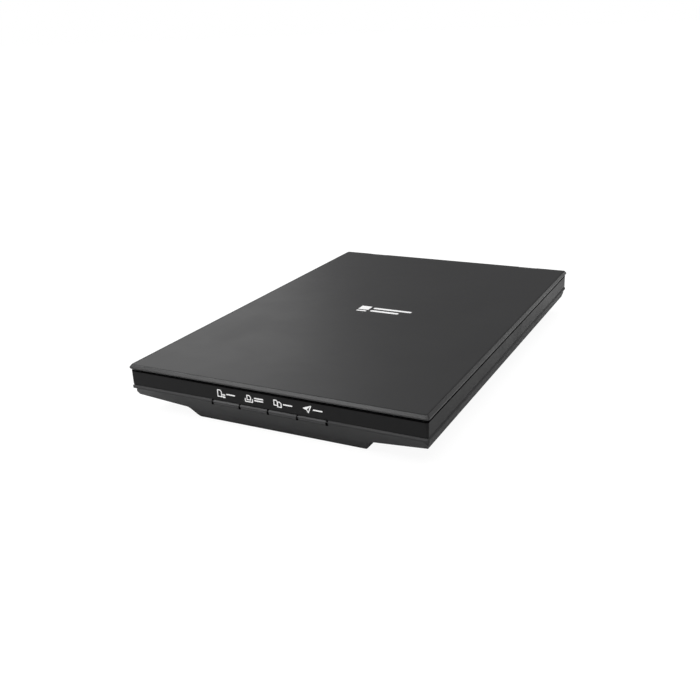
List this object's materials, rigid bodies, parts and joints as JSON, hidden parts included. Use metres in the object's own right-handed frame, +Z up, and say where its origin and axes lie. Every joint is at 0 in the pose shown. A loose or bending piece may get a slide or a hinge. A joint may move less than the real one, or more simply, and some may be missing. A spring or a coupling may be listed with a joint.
{
  "type": "flatbed scanner",
  "caption": "Slim flatbed scanner: glass bed under a lifting hinged lid, slanted lower housing with a deep belly, front keys, and a self-driven sensor carriage on a rod and rack.",
  "frame": {"origin": "centre of the footprint, on the surface that the rubber feet stand on", "axes": "+X to the right seen from the front, +Y to the back, where the hinges are, +Z up"},
  "size_m": [0.25, 0.367, 0.042],
  "materials": {
    "lower_shell": "fine matt moulded grain",
    "band_shell": "satin to gloss",
    "bed_glass": "clear float glass",
    "black_tape": "matt",
    "white_film": "smooth matt",
    "lid_shell": "satin fine grain",
    "lid_liner": "matt",
    "foam": "closed cell foam",
    "rubber": "matt",
    "steel": "ground",
    "hinge_plastic": "matt",
    "key_plastic": "satin",
    "circuit_board": "solder mask",
    "switch_metal": "pressed",
    "gear_plastic": "natural acetal",
    "frame_plastic": "glass filled",
    "sensor_shell": "matt",
    "lens_glass": "polished",
    "light_bar": "clear acrylic",
    "slider_plastic": "low friction",
    "motor_steel": "drawn can",
    "brass_gear": "machined",
    "chip_black": "moulded epoxy",
    "socket_metal": "plated",
    "socket_plastic": "natural",
    "ribbon": "flat flexible cable",
    "screw_steel": "zinc",
    "label_film": "blank film"
  },
  "bodies": {
    "base": {"lower_housing": "lower_shell", "upper_housing": "band_shell", "platen_glass": "bed_glass", "glass_tape": "black_tape", "calibration_strip": "white_film", "button_board": "circuit_board", "tact_switches": "switch_metal", "guide_rod": "steel", "gear_rack": "gear_plastic", "main_board": "circuit_board", "board_parts": "chip_black", "usb_socket": "socket_metal", "cable_socket": "socket_plastic", "flat_cable": "ribbon", "rubber_feet": "rubber", "case_screws": "screw_steel", "board_screws": "screw_steel", "rating_label": "label_film"},
    "hinge_posts": {"hinge_left": "hinge_plastic", "hinge_right": "hinge_plastic"},
    "lid": {"lid_cover": "lid_shell", "lid_inner": "lid_liner", "foam_pad": "foam", "white_sheet": "white_film", "lid_bumpers": "rubber", "hinge_pins": "steel"},
    "key_body_1": {"key_1": "key_plastic"},
    "key_body_2": {"key_2": "key_plastic"},
    "key_body_3": {"key_3": "key_plastic"},
    "key_body_4": {"key_4": "key_plastic"},
    "carriage": {"carriage_frame": "frame_plastic", "cis_housing": "sensor_shell", "rod_lens": "lens_glass", "light_guide": "light_bar", "cis_board": "circuit_board", "cis_springs": "steel", "glass_sliders": "slider_plastic", "motor_can": "motor_steel", "gear_axles": "steel", "cable_clamp": "frame_plastic"},
    "output_body": {"output_gear": "gear_plastic"},
    "idler_body": {"idler_gear": "gear_plastic"},
    "pinion_body": {"motor_pinion": "brass_gear"}
  },
  "joints": [
    {"name": "lid_lift", "type": "slide", "parent": "base", "child": "hinge_posts", "axis": [0, 0, 1], "range_m": [0, 0.012]},
    {"name": "lid_hinge", "type": "hinge", "parent": "hinge_posts", "child": "lid", "pos_m": [0, 0.1814, 0.04], "axis": [-1, 0, 0], "range_deg": [0, 95]},
    {"name": "key_1_press", "type": "slide", "parent": "base", "child": "key_body_1", "axis": [0, 1, 0], "range_m": [0, 0.0009], "stiffness_N_per_m": 700, "springref_m": -0.0004},
    {"name": "key_2_press", "type": "slide", "parent": "base", "child": "key_body_2", "axis": [0, 1, 0], "range_m": [0, 0.0009], "stiffness_N_per_m": 700, "springref_m": -0.0004},
    {"name": "key_3_press", "type": "slide", "parent": "base", "child": "key_body_3", "axis": [0, 1, 0], "range_m": [0, 0.0009], "stiffness_N_per_m": 700, "springref_m": -0.0004},
    {"name": "key_4_press", "type": "slide", "parent": "base", "child": "key_body_4", "axis": [0, 1, 0], "range_m": [0, 0.0009], "stiffness_N_per_m": 700, "springref_m": -0.0004},
    {"name": "carriage_travel", "type": "slide", "parent": "base", "child": "carriage", "axis": [0, 1, 0], "range_m": [0, 0.3], "deforming": ["flat_cable"]},
    {"name": "output_spin", "type": "hinge", "parent": "carriage", "child": "output_body", "pos_m": [-0.0512, -0.15, 0.01], "axis": [0, 0, 1], "continuous": true},
    {"name": "idler_spin", "type": "hinge", "parent": "carriage", "child": "idler_body", "pos_m": [-0.032, -0.15, 0.01], "axis": [0, 0, 1], "continuous": true},
    {"name": "motor_spin", "type": "hinge", "parent": "carriage", "child": "pinion_body", "pos_m": [-0.0128, -0.15, 0.01], "axis": [0, 0, 1], "continuous": true}
  ],
  "couplings": [
    {"joint": "output_spin", "follows": "carriage_travel", "rad_per_m": 208.33},
    {"joint": "idler_spin", "follows": "carriage_travel", "rad_per_m": -625},
    {"joint": "motor_spin", "follows": "carriage_travel", "rad_per_m": 1875}
  ]
}
